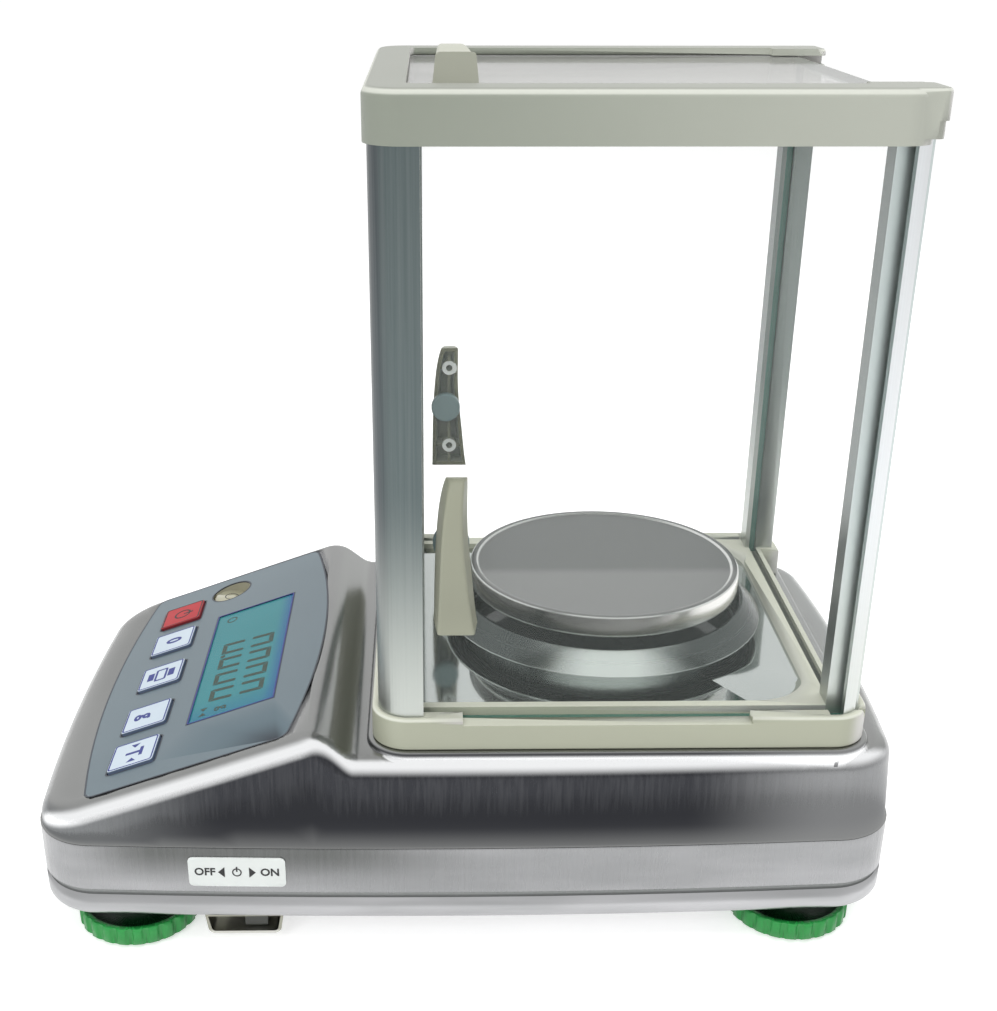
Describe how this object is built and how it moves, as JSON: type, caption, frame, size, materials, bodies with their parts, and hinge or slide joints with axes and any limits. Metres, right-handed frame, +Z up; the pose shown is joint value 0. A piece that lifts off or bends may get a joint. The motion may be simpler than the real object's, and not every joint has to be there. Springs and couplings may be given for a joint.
{
  "type": "digital lab scale",
  "caption": "Precision laboratory balance: drawn steel housing with a sloping keypad and display, round pan in a glass draft shield with sliding doors and lid, on levelling feet",
  "frame": {"origin": "on the table, under the middle of the housing's outline", "axes": "+X towards the user's right, +Y from the user to the back, +Z up"},
  "size_m": [0.204, 0.3539, 0.3372],
  "materials": {
    "stainless": "vertical brushing, satin",
    "tray_steel": "satin",
    "pan_steel": "fine brushing",
    "ring_steel": "bright drawn",
    "gasket": "matt",
    "film": "blue-grey, smooth",
    "window": "clear",
    "display": "teal backlight with dark digits",
    "board": "green solder mask",
    "brass": "turned",
    "cell_aluminium": "machined",
    "dark_plastic": "moulded",
    "vial": "clear yellow-green liquid under a dome",
    "mirror": "polished",
    "base_plastic": "pale beige, moulded",
    "top_plastic": "pale beige, moulded",
    "handle_plastic": "pale beige, moulded",
    "disc": "grey-blue, moulded",
    "glass": "clear with green edges",
    "column": "satin anodised",
    "label": "printed",
    "key_white": "printed",
    "key_red": "printed",
    "foot_green": "moulded",
    "stud": "plated thread",
    "pad": "matt",
    "socket_metal": "plated shell"
  },
  "bodies": {
    "housing": {"upper_housing": "stainless", "bottom_tray": "tray_steel", "seam_gasket": "gasket", "keypad_overlay": "film", "display_window": "window", "display_module": "display", "keypad_board": "board", "level_cup": "dark_plastic", "level_vial": "vial", "main_board": "board", "board_standoffs": "brass", "load_cell": "cell_aluminium", "cell_base": "cell_aluminium", "overload_stop": "brass", "base_frame": "base_plastic", "mirror_plate": "mirror", "top_frame": "top_plastic", "front_glass": "glass", "rear_glass": "glass", "switch_guard": "tray_steel", "switch_plate": "label", "power_switch": "dark_plastic", "supply_inlet": "dark_plastic", "data_socket": "socket_metal", "column_front_right": "column", "column_back_right": "column", "column_cover_right": "column", "column_front_left": "column", "column_back_left": "column", "column_cover_left": "column"},
    "door_right": {"door_glass_right": "glass", "door_handle_right": "handle_plastic", "door_disc_right": "disc"},
    "door_left": {"door_glass_left": "glass", "door_handle_left": "handle_plastic", "door_disc_left": "disc"},
    "lid": {"lid_glass": "glass", "lid_handle": "handle_plastic"},
    "support": {"pan_support": "cell_aluminium", "pan_bracket": "cell_aluminium"},
    "pan": {"pan": "pan_steel"},
    "ring": {"wind_ring": "ring_steel"},
    "lever": {"switch_lever": "dark_plastic"},
    "key_on_off": {"key_on_off": "key_red"},
    "key_zero": {"key_zero": "key_white"},
    "key_print": {"key_print": "key_white"},
    "key_unit": {"key_unit": "key_white"},
    "key_tare": {"key_tare": "key_white"},
    "stud_front_right": {"foot_stud_front_right": "stud"},
    "wheel_front_right": {"foot_wheel_front_right": "foot_green", "foot_pad_front_right": "pad"},
    "stud_front_left": {"foot_stud_front_left": "stud"},
    "wheel_front_left": {"foot_wheel_front_left": "foot_green", "foot_pad_front_left": "pad"},
    "stud_back_right": {"foot_stud_back_right": "stud"},
    "wheel_back_right": {"foot_wheel_back_right": "foot_green", "foot_pad_back_right": "pad"},
    "stud_back_left": {"foot_stud_back_left": "stud"},
    "wheel_back_left": {"foot_wheel_back_left": "foot_green", "foot_pad_back_left": "pad"}
  },
  "joints": [
    {"name": "door_right_slide", "type": "slide", "parent": "housing", "child": "door_right", "axis": [0, 1, 0], "range_m": [0, 0.125]},
    {"name": "door_left_slide", "type": "slide", "parent": "housing", "child": "door_left", "axis": [0, 1, 0], "range_m": [0, 0.125]},
    {"name": "lid_slide", "type": "slide", "parent": "housing", "child": "lid", "axis": [0, 1, 0], "range_m": [0, 0.12]},
    {"name": "key_on_off_press", "type": "slide", "parent": "housing", "child": "key_on_off", "axis": [0, 0.3305, -0.9438], "range_m": [0, 0.0008], "stiffness_N_per_m": 1500, "springref_m": -0.0005},
    {"name": "key_zero_press", "type": "slide", "parent": "housing", "child": "key_zero", "axis": [0, 0.3305, -0.9438], "range_m": [0, 0.0008], "stiffness_N_per_m": 1500, "springref_m": -0.0005},
    {"name": "key_print_press", "type": "slide", "parent": "housing", "child": "key_print", "axis": [0, 0.3305, -0.9438], "range_m": [0, 0.0008], "stiffness_N_per_m": 1500, "springref_m": -0.0005},
    {"name": "key_unit_press", "type": "slide", "parent": "housing", "child": "key_unit", "axis": [0, 0.3305, -0.9438], "range_m": [0, 0.0008], "stiffness_N_per_m": 1500, "springref_m": -0.0005},
    {"name": "key_tare_press", "type": "slide", "parent": "housing", "child": "key_tare", "axis": [0, 0.3305, -0.9438], "range_m": [0, 0.0008], "stiffness_N_per_m": 1500, "springref_m": -0.0005},
    {"name": "power_slide", "type": "slide", "parent": "housing", "child": "lever", "axis": [0, -1, 0], "range_m": [0, 0.009]},
    {"name": "support_sink", "type": "slide", "parent": "housing", "child": "support", "axis": [0, 0, -1], "range_m": [0, 0.0004], "stiffness_N_per_m": 20000, "springref_m": -0.0003},
    {"name": "pan_lift", "type": "slide", "parent": "support", "child": "pan", "axis": [0, 0, 1], "range_m": [0, 0.15]},
    {"name": "ring_lift", "type": "slide", "parent": "housing", "child": "ring", "axis": [0, 0, 1], "range_m": [0, 0.15]},
    {"name": "climb_front_right", "type": "slide", "parent": "housing", "child": "stud_front_right", "axis": [0, 0, 1], "range_m": [-0.0025, 0.0025]},
    {"name": "turn_front_right", "type": "hinge", "parent": "stud_front_right", "child": "wheel_front_right", "pos_m": [0.0755, -0.135, 0.005], "axis": [0, 0, 1], "range_deg": [-720, 720]},
    {"name": "climb_front_left", "type": "slide", "parent": "housing", "child": "stud_front_left", "axis": [0, 0, 1], "range_m": [-0.0025, 0.0025]},
    {"name": "turn_front_left", "type": "hinge", "parent": "stud_front_left", "child": "wheel_front_left", "pos_m": [-0.0755, -0.135, 0.005], "axis": [0, 0, 1], "range_deg": [-720, 720]},
    {"name": "climb_back_right", "type": "slide", "parent": "housing", "child": "stud_back_right", "axis": [0, 0, 1], "range_m": [-0.0025, 0.0025]},
    {"name": "turn_back_right", "type": "hinge", "parent": "stud_back_right", "child": "wheel_back_right", "pos_m": [0.0755, 0.135, 0.005], "axis": [0, 0, 1], "range_deg": [-720, 720]},
    {"name": "climb_back_left", "type": "slide", "parent": "housing", "child": "stud_back_left", "axis": [0, 0, 1], "range_m": [-0.0025, 0.0025]},
    {"name": "turn_back_left", "type": "hinge", "parent": "stud_back_left", "child": "wheel_back_left", "pos_m": [-0.0755, 0.135, 0.005], "axis": [0, 0, 1], "range_deg": [-720, 720]}
  ],
  "couplings": [
    {"joint": "turn_front_right", "follows": "climb_front_right", "rad_per_m": 5026.5},
    {"joint": "turn_front_left", "follows": "climb_front_left", "rad_per_m": 5026.5},
    {"joint": "turn_back_right", "follows": "climb_back_right", "rad_per_m": 5026.5},
    {"joint": "turn_back_left", "follows": "climb_back_left", "rad_per_m": 5026.5}
  ]
}
